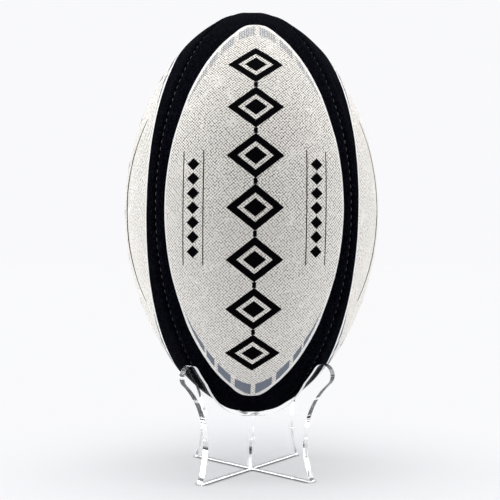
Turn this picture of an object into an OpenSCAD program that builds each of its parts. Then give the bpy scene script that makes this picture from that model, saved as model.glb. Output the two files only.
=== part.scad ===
// Ball on a two-plate display stand.
// The ball is an oval of four panels round a bladder, standing on its end.
// The stand is two flat clear plates, halved into each other at right angles,
// whose upper edges are cut to the oval of the ball.
// Sizes are in millimetres. The origin is on the table under the ball's axis, and +Z is up.

/* [Ball] */
// Width of the ball at its middle
ball_d = 190; // [180:0.5:200]
// Length of the ball from end to end
ball_len = 300; // [286:0.5:310]
// Radius of the rounded ends
tip_r = 52; // [46:0.5:58]
// Angle above level at which an end's arc meets the shoulder's
tip_from = 59; // [55:0.5:65]
// Angle above level at which the side's arc meets the shoulder's
side_to = 34; // [26:0.5:35]

/* [Panels] */
// Thickness of the rubber cover
cover_t = 1.4; // [1:0.1:2]
// Thickness of the woven lining glued behind the cover
lining_t = 1; // [0.6:0.1:1.6]
// Width of the slit between two panels along a seam
seam_gap = 0.8; // [0.4:0.1:1.4]
// Depth to which the panels' sewn edges are turned in
seam_fold = 6; // [5:0.5:8]
// Radius of the round shoulder pressed along each side of a seam
groove_r = 1.6; // [1.2:0.1:2]
// Depth of the seam's groove
groove_deep = 0.7; // [0.4:0.1:1]
// Half-width of a panel's pale field
field_w = 60; // [50:1:64]
// Height of a panel's pale field from the ball's middle to its points
field_h = 134; // [124:1:138]

/* [Seam thread] */
// Thickness of the waxed thread that lies in each seam
thread_d = 0.7; // [0.3:0.1:1]
// Depth of the middle of the thread below the ball's surface
thread_deep = 1.3; // [1.2:0.1:2]

/* [Bladder and valve] */
// Thickness of the bladder's wall
bladder_t = 0.8; // [0.6:0.1:1.4]
// Air left between the bladder and what it presses on
bladder_fit = 0.3; // [0.1:0.05:0.4]
// Radius of the valve's neck
neck_r = 4.5; // [4:0.1:6]
// Length of the valve's neck
neck_len = 16; // [14:0.5:20]
// Depth of the neck's outer face below the ball's surface
neck_sunk = 0.4; // [0.2:0.1:0.8]
// Radius of the valve's root flange
flange_r = 13; // [11:0.5:16]
// Thickness of the valve's root flange
flange_t = 1.2; // [0.8:0.1:2]
// Radius of the patch that stiffens the bladder round the valve
patch_r = 20; // [18:0.5:26]
// Thickness of the patch
patch_t = 0.8; // [0.5:0.1:1.2]
// Thickness of the glue between the bladder, the patch and the flange
glue_t = 0.1; // [0.05:0.05:0.2]
// Radius of the soft core that the pump's needle passes through
core_r = 2.4; // [1.8:0.1:3]
// Length of the core
core_len = 12; // [10:0.5:13]
// Radius of the needle's lead-in hole in the core
needle_r = 0.6; // [0.4:0.1:0.9]
// Depth of the needle's lead-in hole
needle_deep = 5; // [3:0.5:8]
// Radius of the air hole at the root of the neck
air_r = 1.2; // [0.8:0.1:1.6]
// Gap round the neck where it passes a panel, and round the core
valve_fit = 0.1; // [0.05:0.05:0.2]

/* [Stand] */
// Thickness of the clear plates
plate_t = 5; // [3:0.1:8]
// Half-width of a plate's straight foot
foot_w = 57; // [52:0.5:66]
// Half-width of a plate at its waist
waist_w = 50.5; // [44:0.5:51.5]
// Height of the plates at their middle
saddle_h = 40.5; // [36:0.5:52]
// Angle below level at which the cradle ends on the ball's shoulder
arm_end = 35; // [34.5:0.5:46]
// Radius of the rounded end of each arm
arm_r = 7.5; // [6:0.1:10]
// Depth of the hollow that keeps the cradle's middle off the ball's end
hollow_deep = 2.5; // [1:0.1:4]
// Radius of that hollow
hollow_r = 59; // [54:0.5:62]
// Share of the middle height that the upper plate's slot takes
lap_share = 0.55; // [0.3:0.05:0.7]
// Gap between the ball and the cradle
cradle_fit = 0.3; // [0.3:0.1:1]
// Gap on each side of a plate in the other's slot
slot_fit = 0.1; // [0.05:0.05:0.3]
// Turn of the stand from the ball's seams
stand_turn = 3.5; // [0:0.1:45]

/* [Hidden] */
$fn = 96;
eps = 0.01;

// The oval's arcs: an end, a shoulder and a side, each tangent to the next.
half_d = ball_d / 2;
half_len = ball_len / 2;
span = (1 - cos(tip_from)) * sin(side_to) - (1 - cos(side_to)) * sin(tip_from);
shoulder_r = tip_r
    + ((half_d - tip_r) * sin(side_to) - (half_len - tip_r) * (1 - cos(side_to))) / span;
side_r = shoulder_r
    + ((half_len - tip_r) * (1 - cos(tip_from)) - (half_d - tip_r) * sin(tip_from)) / span;
tip_c = [0, half_len - tip_r];
shoulder_c = tip_c - (shoulder_r - tip_r) * [cos(tip_from), sin(tip_from)];
side_c = [half_d - side_r, 0];
// Each arc: its centre, its radius and the angles at which it starts and ends
ARCS = [
    [[0, -tip_c.y], tip_r, -90, -tip_from],
    [[shoulder_c.x, -shoulder_c.y], shoulder_r, -tip_from, -side_to],
    [side_c, side_r, -side_to, side_to],
    [shoulder_c, shoulder_r, side_to, tip_from],
    [tip_c, tip_r, tip_from, 90],
];

// The ball rests on the plates' arms, with its lower end above the hollow in their middle.
ball_z = saddle_h + hollow_deep + cradle_fit + half_len;

// Depths below the ball's surface at which each layer starts
lining_at = cover_t;
bladder_at = lining_at + lining_t + bladder_fit;
patch_at = bladder_at + bladder_t + glue_t;
flange_at = patch_at + patch_t + glue_t;
lining_edge = seam_gap / 2 + cover_t;
bladder_edge = lining_edge + lining_t + bladder_fit;
bladder_fold = seam_fold + bladder_fit;

// Where a cord passes from one arc to the next: the bead's radius and the gap that the bead
// bridges, in cord radii
bead_swell = 1.05;
arc_gap = 0.1;

// The stand's outline: a waist arc that runs from the foot's corner into the arm's round end
arm_c = [shoulder_c.x, ball_z - shoulder_c.y]
    + (shoulder_r + cradle_fit + arm_r) * [cos(arm_end), -sin(arm_end)];
toe = foot_w - waist_w;
reach = arm_c.x - waist_w;
qa = reach + arm_r - toe;
qb = 2 * toe * arm_c.y;
qc = toe ^ 2 * (reach + arm_r) - toe * (reach ^ 2 + arm_c.y ^ 2 - arm_r ^ 2);
waist_z = (sqrt(qb ^ 2 - 4 * qa * qc) - qb) / (2 * qa);
waist_r = (toe ^ 2 + waist_z ^ 2) / (2 * toe);
waist_c = [waist_w + waist_r, waist_z];
lap_z = saddle_h * lap_share;

// A slice of the plane about the origin between two angles, out to radius r
module wedge(r, from, to) {
    mid = (from + to) / 2;
    polygon([[0, 0], 2 * r * [cos(from), sin(from)], 2 * r * [cos(mid), sin(mid)],
        2 * r * [cos(to), sin(to)]]);
}

// Right half of the oval, drawn inwards by inset
module half_oval(inset = 0) {
    intersection() {
        union() for (arc = ARCS) translate(arc[0]) intersection() {
            circle(arc[1] - inset);
            wedge(arc[1], arc[2], arc[3]);
        }
        translate([0, -ball_len]) square([ball_d, 2 * ball_len]);
    }
}

// Right half of a layer of the oval between two depths
module half_layer(outer, inner) {
    difference() {
        half_oval(outer);
        half_oval(inner);
    }
}

// A quarter of a layer, which runs from +X round to +Y
module quarter_layer(outer, inner) {
    rotate_extrude(angle = 90) half_layer(outer, inner);
}

// Slabs along the quarter's two cut faces, thick at each side of the face
module face_slabs(thick) {
    translate([-thick, -thick, -ball_len]) cube([ball_d, 2 * thick, 2 * ball_len]);
    translate([-thick, -thick, -ball_len]) cube([2 * thick, ball_d, 2 * ball_len]);
}

// An edge of a layer that is turned in beside a seam: a leaf between two depths,
// from near to far on the quarter's side of the seam
module turned_edge(outer, inner, near, far) {
    intersection() {
        rotate([90, 0, 0]) translate([0, 0, -far]) linear_extrude(far - near)
            half_layer(outer, inner);
        translate([near, near, -ball_len]) cube([ball_d, ball_d, 2 * ball_len]);
    }
}

// Both turned edges of a quarter
module turned_edges(outer, inner, near, far) {
    turned_edge(outer, inner, near, far);
    mirror([1, -1, 0]) turned_edge(outer, inner, near, far);
}

// A round cord that follows the oval in the XZ plane at a depth below its surface, and
// stops short of each end of the oval by an angle. A bead joins each arc to the next.
module meridian_cord(deep, r, stop = 0) {
    bead_r = bead_swell * r;
    for (arc = ARCS) translate([arc[0].x, 0, arc[0].y]) rotate([90, 0, 0]) {
        path_r = arc[1] - deep;
        trim = asin(arc_gap * r / path_r);
        from = arc[2] + (arc[2] == -90 ? stop : trim);
        to = arc[3] - (arc[3] == 90 ? stop : trim);
        rotate([0, 0, from]) rotate_extrude(angle = to - from) translate([path_r, 0]) circle(r);
        if (arc[3] < 90) rotate([0, 0, arc[3]]) translate([path_r, 0]) sphere(bead_r);
    }
}

// A round boss along +Y on the valve's axis, from a depth below the surface inwards
module valve_post(r, deep, len) {
    translate([0, half_d - deep, 0]) rotate([90, 0, 0]) cylinder(r = r, h = len);
}

// Turns a quarter that runs from +X to +Y so that its middle faces a given way
module facing(angle) {
    translate([0, 0, ball_z]) rotate([0, 0, angle - 45]) children();
}

module cover_quarter() {
    difference() {
        union() {
            difference() {
                quarter_layer(0, cover_t);
                face_slabs(seam_gap / 2);
            }
            turned_edges(cover_t / 2, seam_fold, seam_gap / 2, lining_edge);
        }
        for (turn = [0, 90]) rotate([0, 0, turn])
            meridian_cord(groove_deep - groove_r, groove_r);
    }
}

module lining_quarter() {
    difference() {
        quarter_layer(lining_at, lining_at + lining_t);
        face_slabs(lining_edge);
    }
    turned_edges(lining_at + lining_t / 2, seam_fold, lining_edge, lining_edge + lining_t);
}

// The pale field on a panel, as a prism along the direction that the panel faces
module field_prism() {
    field_r = (field_w ^ 2 + field_h ^ 2) / (2 * field_w);
    rotate([90, 0, 45 + 90]) linear_extrude(ball_d) intersection() {
        translate([field_w - field_r, 0]) circle(field_r);
        translate([field_r - field_w, 0]) circle(field_r);
    }
}

module panel(angle) {
    facing(angle) {
        color([0.86, 0.85, 0.83]) intersection() {
            cover_quarter();
            field_prism();
        }
        color([0.07, 0.08, 0.1]) difference() {
            cover_quarter();
            field_prism();
        }
    }
}

module lining(angle) {
    color([0.78, 0.74, 0.64]) facing(angle) lining_quarter();
}

module panel_front() { panel(-90); }
module panel_right() { panel(0); }
module panel_left() { panel(180); }
module panel_back() {
    difference() {
        panel(90);
        translate([0, 0, ball_z]) valve_post(neck_r + valve_fit, -eps, seam_fold);
    }
}

module lining_front() { lining(-90); }
module lining_right() { lining(0); }
module lining_left() { lining(180); }
module lining_back() {
    difference() {
        lining(90);
        translate([0, 0, ball_z]) valve_post(neck_r + valve_fit, -eps, seam_fold);
    }
}

// The thread that draws two panels together, along the seam that faces a given way
module seam_thread(angle) {
    color([0.16, 0.17, 0.2]) translate([0, 0, ball_z]) rotate([0, 0, angle])
        meridian_cord(thread_deep, thread_d / 2, asin(thread_d / tip_r));
}

module seam_thread_front_right() { seam_thread(-45); }
module seam_thread_back_right() { seam_thread(45); }
module seam_thread_back_left() { seam_thread(135); }
module seam_thread_front_left() { seam_thread(-135); }

// The bladder's wall: it fills each panel, turns in beside the sewn edges and runs on below them
module bladder_wall() {
    for (turn = [0:90:270]) rotate([0, 0, turn - 45]) {
        difference() {
            quarter_layer(bladder_at, bladder_at + bladder_t);
            face_slabs(bladder_edge);
        }
        turned_edges(bladder_at + bladder_t / 2, bladder_fold + bladder_t / 2,
            bladder_edge, bladder_edge + bladder_t);
    }
    intersection() {
        rotate_extrude() half_layer(bladder_fold, bladder_fold + bladder_t);
        for (turn = [45, 135]) rotate([0, 0, turn])
            cube([ball_d, 2 * (bladder_edge + bladder_t), 2 * ball_len], center = true);
    }
}

module bladder() {
    color([0.1, 0.1, 0.11]) translate([0, 0, ball_z]) difference() {
        bladder_wall();
        valve_post(neck_r + valve_fit, 0, neck_len);
    }
}

// A disc of the valve's, curved to the bladder's wall
module curved_disc(r, outer, inner) {
    intersection() {
        rotate_extrude() half_layer(outer, inner);
        valve_post(r, 0, half_d / 2);
    }
}

module valve_patch() {
    color([0.32, 0.3, 0.28]) translate([0, 0, ball_z]) difference() {
        curved_disc(patch_r, patch_at, flange_at);
        valve_post(neck_r + valve_fit, 0, neck_len);
    }
}

module valve_housing() {
    color([0.15, 0.15, 0.16]) translate([0, 0, ball_z]) difference() {
        union() {
            valve_post(neck_r, neck_sunk, neck_len);
            curved_disc(flange_r, flange_at, flange_at + flange_t);
        }
        valve_post(core_r + valve_fit, -eps, neck_sunk + core_len + eps);
        valve_post(air_r, 0, neck_sunk + neck_len + eps);
    }
}

module valve_core() {
    color([0.55, 0.5, 0.42]) translate([0, 0, ball_z]) difference() {
        valve_post(core_r, neck_sunk, core_len);
        valve_post(needle_r, 0, neck_sunk + needle_deep);
    }
}

// Right half of a plate: foot, waist, arm and cradle
module half_plate() {
    // Where the line from the arm's end to the shoulder's centre meets the ball's axis
    run = arm_c.x / tan(90 - arm_end);
    difference() {
        polygon([[0, 0], [foot_w, 0], waist_c, arm_c, [0, arm_c.y + run]]);
        translate(waist_c) circle(waist_r);
        translate([0, ball_z]) half_oval(-cradle_fit);
        translate([0, saddle_h + hollow_r]) circle(hollow_r);
    }
    translate(arm_c) circle(arm_r);
}

// A whole plate across the stand, with the slot for the other plate from one height to another
module plate(turn, slot_from, slot_to) {
    rotate([0, 0, stand_turn + turn]) difference() {
        rotate([90, 0, 0]) translate([0, 0, -plate_t / 2]) linear_extrude(plate_t) {
            half_plate();
            mirror([1, 0]) half_plate();
        }
        translate([-plate_t / 2 - slot_fit, -plate_t, slot_from])
            cube([plate_t + 2 * slot_fit, 2 * plate_t, slot_to - slot_from]);
    }
}

module lower_plate() {
    color([0.8, 0.88, 0.9, 0.5]) plate(45, lap_z, ball_z);
}

module upper_plate() {
    color([0.86, 0.92, 0.94, 0.5]) plate(-45, -eps, lap_z + slot_fit);
}

lower_plate();
upper_plate();
panel_front();
panel_right();
panel_back();
panel_left();
lining_front();
lining_right();
lining_back();
lining_left();
seam_thread_front_right();
seam_thread_back_right();
seam_thread_back_left();
seam_thread_front_left();
bladder();
valve_patch();
valve_housing();
valve_core();
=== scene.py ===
import math

import bpy
import numpy as np
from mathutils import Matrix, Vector, noise


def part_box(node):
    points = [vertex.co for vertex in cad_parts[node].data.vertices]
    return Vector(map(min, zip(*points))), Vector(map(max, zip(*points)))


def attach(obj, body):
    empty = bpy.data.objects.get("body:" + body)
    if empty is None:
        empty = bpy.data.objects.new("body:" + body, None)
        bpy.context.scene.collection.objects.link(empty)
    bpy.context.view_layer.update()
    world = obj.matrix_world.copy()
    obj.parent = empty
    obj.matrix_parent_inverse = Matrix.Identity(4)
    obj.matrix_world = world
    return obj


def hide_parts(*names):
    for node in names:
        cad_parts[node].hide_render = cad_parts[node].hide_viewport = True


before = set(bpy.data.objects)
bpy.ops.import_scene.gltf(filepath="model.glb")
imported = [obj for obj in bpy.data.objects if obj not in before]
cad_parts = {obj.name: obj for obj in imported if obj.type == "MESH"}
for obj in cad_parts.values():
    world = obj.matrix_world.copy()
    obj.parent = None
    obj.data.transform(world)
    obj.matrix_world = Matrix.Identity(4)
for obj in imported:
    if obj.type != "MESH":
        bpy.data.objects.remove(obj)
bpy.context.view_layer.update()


# The two clear plates of the stand. Each is laser cut from one sheet of cast acrylic and
# its rim is flame polished, so light runs through the sheet and leaves by the bright rim.
# The upper plate's slot drops over the lower plate's slot, and nothing else holds them.
MM = 0.001
EDGE_EASE = 0.35 * MM


class Socket:
    """The output of a shader node. Sums written with it become Math nodes."""

    def __init__(self, tree, out):
        self.tree, self.out = tree, out

    def math(self, operation, *values):
        return self.tree.node("ShaderNodeMath", {"operation": operation}, dict(enumerate(values)))

    def __add__(self, other):
        return self.math("ADD", self, other)

    def __radd__(self, other):
        return self.math("ADD", other, self)

    def __sub__(self, other):
        return self.math("SUBTRACT", self, other)

    def __rsub__(self, other):
        return self.math("SUBTRACT", other, self)

    def __mul__(self, other):
        return self.math("MULTIPLY", self, other)

    def __rmul__(self, other):
        return self.math("MULTIPLY", other, self)

    def __truediv__(self, other):
        return self.math("DIVIDE", self, other)

    def __pow__(self, other):
        return self.math("POWER", self, other)

    def __abs__(self):
        return self.math("ABSOLUTE", self)

    def at_least(self, other):
        return self.math("MAXIMUM", self, other)

    def at_most(self, other):
        return self.math("MINIMUM", self, other)

    def wrap(self, low, high):
        """The value folded into a repeating range."""
        return self.math("WRAP", self, high, low)

    def step(self, edge, soft):
        """0 below edge and 1 above it, over a soft width."""
        return self.tree.node(
            "ShaderNodeMapRange",
            {"interpolation_type": "SMOOTHSTEP"},
            {"Value": self, "From Min": edge - soft / 2, "From Max": edge + soft / 2},
        )

    def part(self, axis):
        """One number of a vector."""
        split = self.tree.node("ShaderNodeSeparateXYZ", {}, {"Vector": self})
        return Socket(self.tree, split.out.node.outputs[axis])


class Finish:
    """A material, or the room round the object, built from nodes."""

    def __init__(self, name, room=False):
        self.holder = (bpy.data.worlds if room else bpy.data.materials).new(name)
        self.holder.use_nodes = True
        self.nodes = self.holder.node_tree.nodes
        self.links = self.holder.node_tree.links
        self.nodes.clear()
        self.end = "ShaderNodeOutputWorld" if room else "ShaderNodeOutputMaterial"

    def put(self, socket, value):
        """Joins a node's output to a socket, or sets the socket's own value."""
        if isinstance(value, Socket):
            self.links.new(value.out, socket)
        else:
            socket.default_value = value

    def node(self, kind, settings=None, inputs=None, output=0):
        """Adds a node: its settings first, then the values or links of its sockets."""
        made = self.nodes.new(kind)
        for key, value in (settings or {}).items():
            setattr(made, key, value)
        for key, value in (inputs or {}).items():
            self.put(made.inputs[key], value)
        return None if output is None else Socket(self, made.outputs[output])

    def place(self):
        """Where a point lies on the object, in metres."""
        return self.node("ShaderNodeTexCoord", {}, {}, "Object")

    def noise(self, where, scale, detail, rough=0.5):
        inputs = {"Vector": where, "Scale": scale, "Detail": detail, "Roughness": rough}
        return self.node("ShaderNodeTexNoise", {}, inputs, "Fac")

    def mix(self, share, first, second):
        """A colour between two, by a share from 0 to 1."""
        inputs = {0: share, 6: first, 7: second}
        return self.node("ShaderNodeMix", {"data_type": "RGBA"}, inputs, 2)

    def vector(self, operation, first, second, output="Vector"):
        inputs = {0: first, 1: second}
        return self.node("ShaderNodeVectorMath", {"operation": operation}, inputs, output)

    def bump(self, height, distance, strength):
        """A normal tilted by a height, which is scaled to a distance in metres."""
        inputs = {"Height": height, "Distance": distance, "Strength": strength}
        return self.node("ShaderNodeBump", {}, inputs)

    def surface(self, **inputs):
        """The one Principled shader, joined to the output."""
        named = {key.replace("_", " "): value for key, value in inputs.items()}
        self.show(self.node("ShaderNodeBsdfPrincipled", {}, named, "BSDF"))

    def show(self, shader):
        """Joins a shader to the output."""
        self.node(self.end, {}, {"Surface": shader}, None)


def dress(piece, finish):
    """Puts one material over a whole piece."""
    piece.data.materials.clear()
    piece.data.materials.append(finish.holder)


def clear_sheet():
    """Cast acrylic: water clear, with faint haze and hairlines from handling."""
    sheet = Finish("clear_cast_acrylic")
    where = sheet.place()
    haze = sheet.noise(where, 60.0, 4.0)
    stretched = sheet.vector("MULTIPLY", where, (900.0, 900.0, 60.0))
    hairlines = sheet.noise(stretched, 1.0, 2.0).step(0.70, 0.06)
    sheet.surface(
        Base_Color=sheet.mix(haze, (0.985, 0.993, 0.996, 1), (0.995, 0.998, 1.0, 1)),
        Roughness=0.012 + 0.02 * haze + 0.05 * hairlines,
        Transmission_Weight=1.0,
        IOR=1.49,
        Normal=sheet.bump(hairlines, 0.00001, 0.15),
    )
    return sheet


acrylic = clear_sheet()
for name in ("lower_plate", "upper_plate"):
    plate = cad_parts[name]
    dress(plate, acrylic)
    eased = plate.modifiers.new("eased_edges", "BEVEL")
    eased.width = EDGE_EASE
    eased.segments = 2
    eased.limit_method = "ANGLE"
    eased.angle_limit = math.radians(50)
    eased.harden_normals = True


# The bladder: one seamless bag of dipped latex that holds the air. It lies inside the
# lined panels and is dusted with talc, so that it can creep as the ball is blown up.
def dipped_latex():
    latex = Finish("dipped_latex")
    where = latex.place()
    talc = latex.noise(where, 90.0, 5.0, 0.65).step(0.52, 0.30)
    film = latex.noise(where, 25.0, 2.0)
    latex.surface(
        Base_Color=latex.mix(talc, (0.012, 0.012, 0.014, 1), (0.11, 0.11, 0.105, 1)),
        Roughness=0.34 + 0.36 * talc,
        Normal=latex.bump(film + 0.2 * talc, 0.0004, 0.5),
    )
    return latex


dress(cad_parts["bladder"], dipped_latex())


# The valve: a moulded neck with a root flange, bonded to the bladder over a stiffening
# patch, and a soft core that closes by itself behind the pump's needle.
def moulded_rubber(name, dark, light, rough, grain_scale):
    rubber = Finish(name)
    where = rubber.place()
    bloom = rubber.noise(where, 220.0, 4.0, 0.6)
    grain = rubber.noise(where, grain_scale, 2.0)
    rubber.surface(
        Base_Color=rubber.mix(bloom.step(0.5, 0.5), dark, light),
        Roughness=rough + 0.14 * bloom,
        Normal=rubber.bump(grain, 0.00008, 0.6),
    )
    return rubber


VALVE_FINISHES = {
    "valve_patch": ((0.07, 0.065, 0.06, 1), (0.10, 0.09, 0.08, 1), 0.55, 900.0),
    "valve_housing": ((0.012, 0.012, 0.014, 1), (0.028, 0.028, 0.03, 1), 0.42, 2200.0),
    "valve_core": ((0.23, 0.19, 0.14, 1), (0.31, 0.26, 0.19, 1), 0.5, 2600.0),
}
for name, (dark, light, rough, grain_scale) in VALVE_FINISHES.items():
    dress(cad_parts[name], moulded_rubber(name + "_rubber", dark, light, rough, grain_scale))


# The linings: three woven plies, laminated behind each cover so that it keeps its size.
# Their edges are turned in with the cover's and sewn through.
def woven_ply():
    ply = Finish("woven_ply")
    where = ply.place()
    yarn = 0.9 * MM
    weft = abs((where.part(2) / yarn).wrap(-1.0, 1.0))
    warp = abs(((where.part(0) + where.part(1)) / yarn).wrap(-1.0, 1.0))
    over = weft.at_least(warp)
    fibre = ply.noise(where, 1800.0, 3.0)
    ply.surface(
        Base_Color=ply.mix(over * fibre, (0.42, 0.38, 0.29, 1), (0.60, 0.56, 0.46, 1)),
        Roughness=0.82 + 0.1 * fibre,
        Sheen_Weight=0.2,
        Normal=ply.bump(over + 0.4 * fibre, 0.0002, 0.8),
    )
    return ply


ply = woven_ply()
for side in ("front", "right", "back", "left"):
    dress(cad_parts["lining_" + side], ply)


# The four panels: moulded rubber with a pebbled grip, cut as long lens shapes, sewn inside
# out and turned, so that their edges roll into the seams. Each has a pale printed field
# inside a black margin. They carry a plain chain of lozenges as their printed ornament.
SIDES = {"front": -90, "right": 0, "back": 90, "left": 180}
sized = [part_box("panel_" + side) for side in SIDES]
low = [min(box[0][axis] for box in sized) for axis in range(3)]
high = [max(box[1][axis] for box in sized) for axis in range(3)]
HALF_D = (high[0] - low[0]) / 2
HALF_LEN = (high[2] - low[2]) / 2
MID_Z = (high[2] + low[2]) / 2
TIP_R = 52 * MM
TIP_FROM = math.radians(59)
SIDE_TO = math.radians(34)


def oval_arcs():
    """The oval's arcs, from its middle to its end: centre, radius and the normal's angles."""
    rise = (HALF_LEN - TIP_R, HALF_D - TIP_R)
    lean_1, lean_2 = 1 - math.cos(TIP_FROM), 1 - math.cos(SIDE_TO)
    span = lean_1 * math.sin(SIDE_TO) - lean_2 * math.sin(TIP_FROM)
    shoulder_r = TIP_R + (rise[1] * math.sin(SIDE_TO) - rise[0] * lean_2) / span
    side_r = shoulder_r + (rise[0] * lean_1 - rise[1] * math.sin(TIP_FROM)) / span
    tip = (0.0, HALF_LEN - TIP_R)
    back = shoulder_r - TIP_R
    shoulder = (-back * math.cos(TIP_FROM), tip[1] - back * math.sin(TIP_FROM))
    return [
        ((HALF_D - side_r, 0.0), side_r, 0.0, SIDE_TO),
        (shoulder, shoulder_r, SIDE_TO, TIP_FROM),
        (tip, TIP_R, TIP_FROM, math.pi / 2),
    ]


ARCS = oval_arcs()
QUARTER = sum(radius * (end - start) for _, radius, start, end in ARCS)


def meridian(along):
    """Radius, height and outward normal (radial, up) at a distance along the oval from its middle."""
    left = abs(along)
    for (cx, cz), radius, start, end in ARCS:
        if left <= radius * (end - start) or end >= math.pi / 2:
            break
        left -= radius * (end - start)
    angle = min(start + left / radius, math.pi / 2)
    sign = 1 if along >= 0 else -1
    across, up = math.cos(angle), math.sin(angle)
    return max(cx + radius * across, 0.0), sign * (cz + radius * up), across, sign * up


def on_oval(turn, along, depth):
    """The point at a depth below the oval's surface, on the meridian that faces a given way."""
    radius, height, across, up = meridian(along)
    out = Vector((across * math.cos(turn), across * math.sin(turn), up))
    return Vector((radius * math.cos(turn), radius * math.sin(turn), MID_Z + height)) - out * depth


# How a panel rolls into its seams
SEAM_HALF_GAP = 0.3 * MM
ROLL_R = 1.8 * MM
LIP_DEPTHS = (0.9 * MM, 1.9 * MM, 3.0 * MM)
STITCH_PITCH = 5.2 * MM
PUCKER = 0.12 * MM
PUCKER_REACH = 2.4 * MM
WELT = 0.3 * MM
WELT_AT = 4.6 * MM
WELT_REACH = 2.2 * MM
POLE_DIP = 0.5 * MM
POLE_REACH = 34 * MM
UNEVEN = 0.16 * MM
UNEVEN_PER_M = 70
COVER_T = 1.4 * MM
EDGE_STEPS = [0.0, 0.12, 0.35, 0.7, 1.2, 1.8, 2.6, 3.6, 4.8, 6.2, 8.0]
FIELD_COLUMNS = 78
ROWS = 300
TIP_STOP = 0.5 * MM
QUARTER_TURN = math.pi / 4
# The hole round the valve's neck: its radius, the grid's vertices that it takes on each side
# of its middle, and how far out the grid bends to it
HOLE_R = 4.6 * MM
HOLE_COLUMNS = 4
HOLE_ROWS = 5
HOLE_BLEND = 3.0


def round_hole(u, v, half):
    """Where a point near the valve moves to, so that the hole's rim is a circle."""
    ring = max(abs(u) / half[0], abs(v) / half[1])
    if ring < 0.9 or ring > HOLE_BLEND:
        return u, v
    share = min((HOLE_BLEND - ring) / (HOLE_BLEND - 1), 1.0)
    away = math.hypot(u, v)
    out = (1 - share) * away + share * HOLE_R * ring
    return u * out / away, v * out / away


def row_columns(radius, squeeze):
    """One row's points from seam to seam: the angle from the panel's middle and the lip's depth."""
    steps = [SEAM_HALF_GAP + step * MM * squeeze for step in EDGE_STEPS]
    edge = [QUARTER_TURN - math.asin(step / radius) for step in steps]
    inner = edge[-1]
    fill = [-inner + 2 * inner * (k + 1) / (FIELD_COLUMNS + 1) for k in range(FIELD_COLUMNS)]
    lips = [(-edge[0], depth * squeeze) for depth in reversed(LIP_DEPTHS)]
    columns = lips + [(-a, 0.0) for a in edge] + [(a, 0.0) for a in fill]
    return columns + [(a, 0.0) for a in reversed(edge)] + [(-a, d) for a, d in reversed(lips)]


def sewn_depth(seam, lip, squeeze, pull):
    """How deep the face lies: it rolls into the seam, puckers at each stitch and swells in a welt."""
    roll = ROLL_R * squeeze
    rolled = max(roll - seam, 0.0)
    depth = lip + roll - math.sqrt(max(roll ** 2 - rolled ** 2, 0.0))
    depth += squeeze * PUCKER * pull * math.exp(-((seam / PUCKER_REACH) ** 2))
    ridge = math.exp(-(((seam - WELT_AT * squeeze) / WELT_REACH) ** 2))
    return depth - (squeeze * WELT * ridge * (0.75 + 0.25 * pull) - WELT), ridge


def panel_grid(facing, seed, pierced):
    """Points of a panel's two faces by row and column, and where each lies in the panel's own terms."""
    count = FIELD_COLUMNS + 2 * (len(EDGE_STEPS) + len(LIP_DEPTHS))
    points = np.zeros((ROWS, count, 3))
    backs = np.zeros((ROWS, count, 3))
    terms = np.zeros((ROWS, count, 3))
    reach = QUARTER - TIP_STOP
    widest_fill = QUARTER_TURN - math.asin((SEAM_HALF_GAP + EDGE_STEPS[-1] * MM) / HALF_D)
    hole = (
        (HOLE_COLUMNS - 0.5) * 2 * HALF_D * widest_fill / (FIELD_COLUMNS + 1),
        (HOLE_ROWS - 0.5) * 2 * reach / (ROWS - 1),
    )
    for row in range(ROWS):
        along = -reach + 2 * reach * row / (ROWS - 1)
        radius = meridian(along)[0]
        widest = radius * math.sin(QUARTER_TURN)
        squeeze = min(1.0, 0.75 * (widest - SEAM_HALF_GAP) / (EDGE_STEPS[-1] * MM))
        pull = 0.5 - 0.5 * math.cos(2 * math.pi * along / STITCH_PITCH)
        for column, (angle, lip) in enumerate(row_columns(radius, squeeze)):
            seam = radius * math.sin(QUARTER_TURN - abs(angle)) - SEAM_HALF_GAP
            depth, ridge = sewn_depth(seam, lip, squeeze, pull)
            u, v = radius * angle, along
            if pierced:
                u, v = round_hole(u, v, hole)
            girth = meridian(v)[0]
            turn = math.radians(facing) + u / girth
            uneven = noise.noise(on_oval(turn, v, 0.0) * UNEVEN_PER_M + Vector((seed, 0, 0)))
            depth += UNEVEN * (uneven + 1) * (1 - ridge)
            depth += POLE_DIP * math.exp(-(((QUARTER - along) / POLE_REACH) ** 2))
            points[row, column] = on_oval(turn, v, depth)
            terms[row, column] = (u, v, seam + SEAM_HALF_GAP)
            back_seam = max(seam + SEAM_HALF_GAP, (SEAM_HALF_GAP + COVER_T) * squeeze)
            back_angle = math.copysign(QUARTER_TURN - math.asin(back_seam / radius), angle)
            turn += (back_angle - angle) * radius / girth
            backs[row, column] = on_oval(turn, v, max(lip, COVER_T))
    return points, backs, terms


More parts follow.
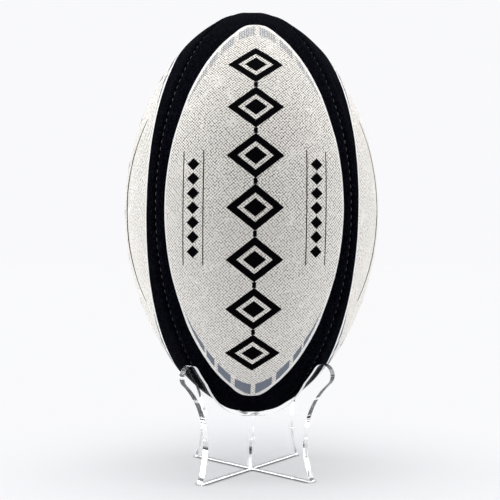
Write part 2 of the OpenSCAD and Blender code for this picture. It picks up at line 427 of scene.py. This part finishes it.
def closed_skin(name, points, backs, terms, pierced):
    """A mesh with an outer face by rows and columns, a matching inner face and closed edges."""
    rows, columns = points.shape[:2]
    numbers = np.arange(rows * columns).reshape(rows, columns)
    size = rows * columns
    kept = np.ones((rows - 1, columns - 1), dtype=bool)
    rings = [numbers[0], numbers[-1][::-1], numbers[::-1, 0], numbers[:, -1]]
    if pierced:
        left, right = columns // 2 - HOLE_COLUMNS, columns // 2 + HOLE_COLUMNS - 1
        foot, head = rows // 2 - HOLE_ROWS, rows // 2 + HOLE_ROWS - 1
        kept[foot:head, left:right] = False
        block = numbers[foot:head + 1, left:right + 1]
        rings += [block[0][::-1], block[-1], block[:, 0], block[::-1, -1]]
    a, b = numbers[:-1, :-1][kept], numbers[:-1, 1:][kept]
    c, d = numbers[1:, 1:][kept], numbers[1:, :-1][kept]
    faces = [np.stack([a, b, c, d], 1), np.stack([d, c, b, a], 1) + size]
    for ring in rings:
        faces.append(np.stack([ring[:-1], ring[:-1] + size, ring[1:] + size, ring[1:]], 1))
    used, corners = np.unique(np.concatenate(faces), return_inverse=True)
    every = np.concatenate([points.reshape(-1, 3), backs.reshape(-1, 3)])[used]
    mesh = bpy.data.meshes.new(name)
    mesh.from_pydata(every.tolist(), [], corners.reshape(-1, 4).tolist())
    lies = mesh.attributes.new("panel", "FLOAT_VECTOR", "POINT")
    lies.data.foreach_set("vector", np.concatenate([terms.reshape(-1, 3)] * 2)[used].ravel())
    own_map(mesh, used, rows, columns)
    mesh.polygons.foreach_set("use_smooth", [True] * len(mesh.polygons))
    mesh.validate()
    return mesh


def own_map(mesh, used, rows, columns):
    """Lays the outer face over most of the map and the rest in a strip beside it."""
    strip = 0.04
    size = rows * columns
    corner = np.zeros(len(mesh.loops), dtype=np.int32)
    mesh.loops.foreach_get("vertex_index", corner)
    corner = used[corner]
    place = corner % size
    u = (place % columns) / (columns - 1)
    v = (place // columns) / (rows - 1)
    hidden = corner >= size
    u = np.where(hidden, 1 - strip * u, (1 - 1.5 * strip) * u)
    layer = mesh.uv_layers.new(name="OFBake")
    layer.data.foreach_set("uv", np.stack([u, v], 1).ravel())


# The printing: where the field's edge would close, where its tip is cut and how round that
# is, how full its outline is, and the border's dashes as upright gaps with their half-widths
FIELD_H = 147 * MM
FIELD_TIP = 145 * MM
FIELD_TIP_R = 18 * MM
FULLNESS = 1.9
DASH_FROM = 2.2 * MM
DASH_GAPS = ((0.0, 1.6 * MM), (14.5 * MM, 1.5 * MM), (26.7 * MM, 1.3 * MM), (34.7 * MM, 0.7 * MM))
# The ornament: the lozenges in the middle chain, and the small ones in the chains beside it
LOZENGE_PITCH = 34 * MM
LOZENGE_HALF_W = 19 * MM
LOZENGE_HALF_H = 15.2 * MM
BEADS_AT = 42 * MM
BEAD_PITCH = 9.6 * MM
BEAD_HALF_W = 4.6 * MM
BEAD_HALF_H = 4.2 * MM
# The ink's edge is about this soft, and the grip has this many pimples to a metre
BLEED = 0.3 * MM
PIMPLES_PER_M = 640


def inside_field(along, within, half, bend):
    """How far a point lies inside the field's edge, from the edge's curve and its slope."""
    reach = (along / FIELD_H).at_most(1.0)
    fall = 1 - reach ** FULLNESS
    cap = (2 * FIELD_TIP_R * (FIELD_TIP + 0.1 * MM - along).at_least(0.0)) ** 0.5
    curve = (half * fall ** bend + 1.6 * MM * along.step(137 * MM, 10 * MM)).at_most(cap) - 0.4 * MM
    curve = curve.at_least(0.0)
    rise = FULLNESS * bend * half ** 2 / FIELD_H
    slope = rise * reach ** (FULLNESS - 1) * fall ** (2 * bend - 1)
    steep = (within * within + slope * slope).at_least(MM ** 2) ** 0.5
    return (curve * curve - within * within) / (2 * steep)


def border_dashes(from_edge, along, aside):
    """A border round both ends that thins out towards the middle, parted by upright gaps."""
    rounder = 1.5 * MM * (1 - (abs(aside) / (12 * MM)) ** 2).at_least(0.0)
    thick = 0.109 * (along - 70 * MM).at_least(0.0)
    border = (from_edge - rounder).step(DASH_FROM, 0.35 * MM)
    dashes = border - (from_edge - rounder - thick).step(DASH_FROM, 0.35 * MM)
    for gap, wide in DASH_GAPS:
        dashes = dashes * abs(abs(aside - 1.2 * MM) - gap).step(wide, BLEED)
    return dashes.at_least(0.0)


def ornament(beside, v, flanked):
    """The ink: a chain of lozenges down the middle, and chains or rules on both sides of it."""
    along = abs(v)
    cell = abs(v.wrap(-LOZENGE_PITCH / 2, LOZENGE_PITCH / 2))
    spread = beside / LOZENGE_HALF_W + cell / LOZENGE_HALF_H
    ring = (1 - spread.step(1.0, 0.02)) * spread.step(0.62, 0.02)
    heart = 1 - spread.step(0.40, 0.02)
    ink = (ring + heart) * (1 - along.step(3.5 * LOZENGE_PITCH, BLEED))
    link = (1 - beside.step(1.3 * MM, BLEED)) * cell.step(15 * MM, BLEED)
    ink = ink + link * (1 - along.step(3 * LOZENGE_PITCH, BLEED))
    if flanked:
        # Short chains of small lozenges, each between two thin rules
        small = abs(v.wrap(-BEAD_PITCH / 2, BEAD_PITCH / 2))
        off = abs(beside - BEADS_AT)
        bead = 1 - (off / BEAD_HALF_W + small / BEAD_HALF_H).step(1.0, 0.08)
        ink = ink + bead * (1 - along.step(3.5 * BEAD_PITCH, 0.2 * MM))
        rule = 1 - abs(off - 7.4 * MM).step(0.4 * MM, 0.25 * MM)
        rule = rule * (1 - along.step(38 * MM, BLEED))
    else:
        # One broad rule that bows out and narrows towards its ends
        rule_at = 28.7 * MM + 0.0022 / MM * v * v
        rule_half = 1.9 * MM - 0.0003 / MM * v * v
        rule = 1 - (abs(beside - rule_at) - rule_half).step(0.0, 0.25 * MM)
        rule = rule * (1 - along.step(66 * MM, 4 * MM))
    return (ink + rule).at_most(1.0)


def from_pimple(cover, u, v, where):
    """How far a point lies from the nearest pimple, in pitches. The close rows of pimples lean
    one way in some places and the other way in others, as the sheet was drawn in its mould."""
    rows = []
    for facing in (40, -44):
        along_row = math.cos(math.radians(facing)) * PIMPLES_PER_M
        off_row = math.sin(math.radians(facing)) * PIMPLES_PER_M
        turned = {0: u * along_row + v * off_row, 1: v * along_row - u * off_row}
        spot = cover.node("ShaderNodeCombineXYZ", {}, turned)
        rows.append(cover.node(
            "ShaderNodeTexVoronoi", {"feature": "F1", "voronoi_dimensions": "2D"},
            {"Vector": spot, "Scale": 1.0, "Randomness": 0.24}, "Distance",
        ))
    drift = cover.noise(where, 45.0, 1.0).step(0.5, 0.10)
    return rows[0] + (rows[1] - rows[0]) * drift


def cover_rubber(name, flanked):
    """Pebbled rubber: pale field, black margin, grey dashes at the field's ends and black ink."""
    cover = Finish(name)
    where = cover.place()
    panel = cover.node("ShaderNodeAttribute", {"attribute_name": "panel"}, {}, "Vector")
    v = panel.part(1)
    along = abs(v)
    # The printing screen stood a little askew on the panel, more so on the two side panels.
    lean, shift = (0.0115, 0.0) if flanked else (0.031, -1.3 * MM)
    half, bend = (65.5 * MM, 0.8) if flanked else (66.9 * MM, 0.95)
    u = panel.part(0) - (0.3 * MM + lean * v)
    from_edge = inside_field(along, abs(u - shift), half, bend)
    field = from_edge.step(0.0, 0.35 * MM) * (1 - along.step(FIELD_TIP, 0.3 * MM))
    bare_rim = 1 - (from_edge - 0.8 * MM * along.step(85 * MM, 40 * MM)).step(1.3 * MM, 0.9 * MM)
    dashes = border_dashes(from_edge, along, u - shift)
    hatch = abs((u / (1.6 * MM)).wrap(-0.5, 0.5)).step(0.25, 0.25)
    faint = 1 - v.step(0.0, 1 * MM) * (0.28 + 0.42 * hatch) if flanked else 1.0
    ink = ornament(abs(u), v, flanked) * field
    apart = from_pimple(cover, u, v, where)
    grain = 1 - apart.step(0.45, 0.5)
    valley = apart.step(0.48, 0.26)

    # Painted shade with some dirt in the pits between the pimples, faint clouding, and a cleaner rim at
    # the edge
    cloud = cover.noise(where, 24.0, 3.0).step(0.5, 0.5)
    pit_shade_and_dirt = (0.14, 0.122, 0.102, 1) if flanked else (0.25, 0.235, 0.21, 1)
    # Painted shade: the pits are painted darker on the upper half, where light from above rakes across
    # the grip
    upper_pit_shade = 0.8 + 0.2 * v.step(0.0, 90 * MM)
    light = cover.mix(valley * upper_pit_shade, (0.95, 0.922, 0.878, 1), pit_shade_and_dirt)
    light = cover.mix(cloud * 0.12, light, (0.66, 0.645, 0.62, 1))
    # Painted shade: the side panels are painted a little greyer on their upper part
    if not flanked:
        light = cover.mix(0.11 * v.step(-20 * MM, 90 * MM), light, (0.5, 0.5, 0.5, 1))
    light = cover.mix(bare_rim * 0.85, light, (0.91, 0.90, 0.885, 1))
    light = cover.mix(dashes * faint, light, (0.20, 0.225, 0.27, 1))
    # Painted highlights: faint navy glints on the pimples' tops in the black margin, with the real
    # gloss turned nearly off
    painted_glint = cover.noise(where, 900.0, 2.0).step(0.60, 0.16)
    black = cover.mix(painted_glint * grain, (0.0004, 0.0005, 0.0014, 1), (0.011, 0.0115, 0.021, 1))
    fine = cover.noise(where, 2400.0, 2.0)
    raised = grain * (0.45 + 0.55 * field) + 0.06 * fine + 0.05 * ink
    cover.surface(
        Base_Color=cover.mix(field, black, cover.mix(ink, light, (0.0018, 0.0018, 0.0024, 1))),
        Roughness=0.78 - 0.12 * field + 0.10 * valley,
        Specular_IOR_Level=0.006,
        Normal=cover.bump(raised, 0.0003, 0.8),
    )
    return cover


end_cover = cover_rubber("pebbled_cover_rubber", True)
side_cover = cover_rubber("pebbled_side_cover_rubber", False)
for seed, (side, facing) in enumerate(SIDES.items()):
    pierced = side == "back"
    shape = closed_skin("cover_" + side, *panel_grid(facing, seed * 7.3, pierced), pierced)
    skin = bpy.data.objects.new("cover_" + side, shape)
    bpy.context.collection.objects.link(skin)
    dress(skin, end_cover if side in ("front", "back") else side_cover)
    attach(skin, "ball")
    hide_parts("panel_" + side)


# The seams' thread: waxed polyester, pulled through both turned edges in even stitches.
# Only the short runs that lie in the groove show.
THREAD_R = 0.32 * MM
THREAD_DEPTH = 1.5 * MM
THREAD_DIVE = 1.9 * MM
RUN_SHARE = 0.74
THREAD_SIDES = 8
THREAD_RINGS = 9


def waxed_thread():
    thread = Finish("waxed_thread")
    where = thread.place()
    twist = thread.noise(where, 1500.0, 2.0)
    thread.surface(
        Base_Color=thread.mix(twist, (0.006, 0.008, 0.014, 1), (0.030, 0.033, 0.045, 1)),
        Roughness=0.32 + 0.2 * twist,
        Specular_IOR_Level=0.5,
        Normal=thread.bump(twist, 0.0001, 0.6),
    )
    return thread


def seam_stitches(name, facing):
    """The stitches of one seam, as one mesh of short arched cords."""
    turn = math.radians(facing)
    side_on = Vector((-math.sin(turn), math.cos(turn), 0))
    verts, faces = [], []
    reach = QUARTER - 6 * MM
    number = int(2 * reach / STITCH_PITCH)
    for stitch in range(number):
        middle = (stitch - (number - 1) / 2) * STITCH_PITCH
        lean = 0.12 * MM * noise.noise(Vector((stitch * 1.7, facing, 0)))
        base = len(verts)
        for ring in range(THREAD_RINGS):
            t = 2 * ring / (THREAD_RINGS - 1) - 1
            along = middle + t * STITCH_PITCH * RUN_SHARE / 2
            centre = on_oval(turn, along, THREAD_DEPTH + THREAD_DIVE * t ** 4) + side_on * lean * t
            out = (on_oval(turn, along, 0.0) - centre).normalized()
            thick = THREAD_R * (1 - 0.25 * t ** 4)
            for k in range(THREAD_SIDES):
                a = 2 * math.pi * k / THREAD_SIDES
                verts.append(centre + thick * (math.cos(a) * side_on + math.sin(a) * out))
        for ring in range(THREAD_RINGS - 1):
            for k in range(THREAD_SIDES):
                a = base + ring * THREAD_SIDES + k
                b = base + ring * THREAD_SIDES + (k + 1) % THREAD_SIDES
                faces.append((a, b, b + THREAD_SIDES, a + THREAD_SIDES))
        last = base + (THREAD_RINGS - 1) * THREAD_SIDES
        faces.append(tuple(range(base + THREAD_SIDES - 1, base - 1, -1)))
        faces.append(tuple(range(last, last + THREAD_SIDES)))
    mesh = bpy.data.meshes.new(name)
    mesh.from_pydata(verts, [], faces)
    mesh.polygons.foreach_set("use_smooth", [True] * len(mesh.polygons))
    return bpy.data.objects.new(name, mesh)


thread = waxed_thread()
SEAMS = {"front_right": -45, "back_right": 45, "back_left": 135, "front_left": -135}
for seam, facing in SEAMS.items():
    stitches = seam_stitches("stitches_" + seam, facing)
    bpy.context.collection.objects.link(stitches)
    dress(stitches, thread)
    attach(stitches, "ball")
    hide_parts("seam_thread_" + seam)


# The table: a smooth pale sweep of board that runs off to white behind the object. It lies
# level under the stand, and a fine line of shade follows the feet of the two plates.
TABLE_HALF = 6.0
TABLE_Z = -0.2 * MM
SHADE_REACH = 5 * MM


def pale_sweep():
    sweep = Finish("pale_sweep")
    where = sweep.place()
    far = sweep.vector("DISTANCE", where, (0, -0.08, 0), "Value").step(0.235, 0.13)
    seen = sweep.node("ShaderNodeLightPath", {}, {}, "Is Camera Ray")
    for ray in ("Is Glossy Ray", "Is Transmission Ray"):
        seen = seen + sweep.node("ShaderNodeLightPath", {}, {}, ray)
    near = {"Distance": SHADE_REACH}
    open_sky = sweep.node("ShaderNodeAmbientOcclusion", {"samples": 16}, near, "AO")
    line = (2.7 * (0.98 - open_sky)).at_least(0.0).at_most(1.0)
    cloud = sweep.noise(where, 3.0, 2.0)
    board = sweep.mix(cloud, (0.79, 0.795, 0.815, 1), (0.80, 0.805, 0.825, 1))
    board = sweep.mix(line, board, (0.30, 0.305, 0.32, 1))
    pale = sweep.mix(far, (0.862, 0.868, 0.892, 1), (0.953, 0.953, 0.967, 1))
    pale = sweep.mix(line, pale, (0.10, 0.105, 0.12, 1))
    matt = sweep.node("ShaderNodeBsdfDiffuse", {}, {"Color": board}, "BSDF")
    glow = sweep.node("ShaderNodeEmission", {}, {"Color": pale, "Strength": 1.0}, "Emission")
    share = (0.6 + 0.4 * far) * seen.at_most(1.0)
    sweep.show(sweep.node("ShaderNodeMixShader", {}, {0: share, 1: matt, 2: glow}, "Shader"))
    return sweep


table_mesh = bpy.data.meshes.new("table_top")
corners = [(x * TABLE_HALF, y * TABLE_HALF, TABLE_Z) for x, y in ((-1, -1), (1, -1), (1, 1), (-1, 1))]
table_mesh.from_pydata(corners, [], [(0, 1, 2, 3)])
table_top = bpy.data.objects.new("table_top", table_mesh)
bpy.context.collection.objects.link(table_top)
dress(table_top, pale_sweep())


# The lights: two tall soft boxes at the sides, one overhead and a white room round it all.
def soft_box(name, place, aim, width, height, power):
    lamp = bpy.data.lights.new(name, "AREA")
    lamp.shape = "RECTANGLE"
    lamp.size, lamp.size_y, lamp.energy = width, height, power
    box = bpy.data.objects.new(name, lamp)
    box.location = place
    box.rotation_euler = (Vector(aim) - Vector(place)).to_track_quat("-Z", "Y").to_euler()
    bpy.context.collection.objects.link(box)


aim = (0, 0, MID_Z)
soft_box("left_soft_box", (-1.15, 0.05, 0.44), aim, 0.9, 1.1, 11.6)
soft_box("right_soft_box", (1.15, 0.05, 0.44), aim, 0.9, 1.1, 10.1)
soft_box("top_soft_box", (0, -0.1, 1.45), aim, 1.2, 1.2, 22.8)

room = Finish("white_room", room=True)
fill = room.node("ShaderNodeBackground", {}, {"Color": (1.0, 1.0, 1.0, 1), "Strength": 0.13})
white = room.node("ShaderNodeBackground", {}, {"Color": (0.947, 0.947, 0.965, 1), "Strength": 1.0})
seen = room.node("ShaderNodeLightPath", {}, {}, "Is Camera Ray")
for ray in ("Is Glossy Ray", "Is Transmission Ray"):
    seen = seen.at_least(room.node("ShaderNodeLightPath", {}, {}, ray))
room.show(room.node("ShaderNodeMixShader", {}, {0: seen, 1: fill, 2: white}))
bpy.context.scene.world = room.holder


# The camera stands level with the ball's lower half and looks a little to one side of it.
CAMERA_AWAY = 0.621
CAMERA_UP = 0.1697
CAMERA_TURN = math.radians(-1.3)
AIM_ASIDE = -1.1 * MM
AIM_UP = 0.1652
eye = bpy.data.cameras.new("camera")
eye.sensor_width = 36.0
eye.lens = 59.1
camera = bpy.data.objects.new("camera", eye)
ahead = Vector((-math.sin(CAMERA_TURN), math.cos(CAMERA_TURN), 0))
aside = Vector((math.cos(CAMERA_TURN), math.sin(CAMERA_TURN), 0))
camera.location = -ahead * CAMERA_AWAY + Vector((0, 0, CAMERA_UP))
target = aside * AIM_ASIDE + Vector((0, 0, AIM_UP))
camera.rotation_euler = (target - camera.location).to_track_quat("-Z", "Y").to_euler()
bpy.context.collection.objects.link(camera)
bpy.context.scene.camera = camera

# Light runs a long way inside the clear sheets before it leaves them.
bpy.context.scene.cycles.max_bounces = 32
bpy.context.scene.cycles.glossy_bounces = 24
bpy.context.scene.cycles.transmission_bounces = 24
bpy.context.scene.view_settings.view_transform = "Standard"
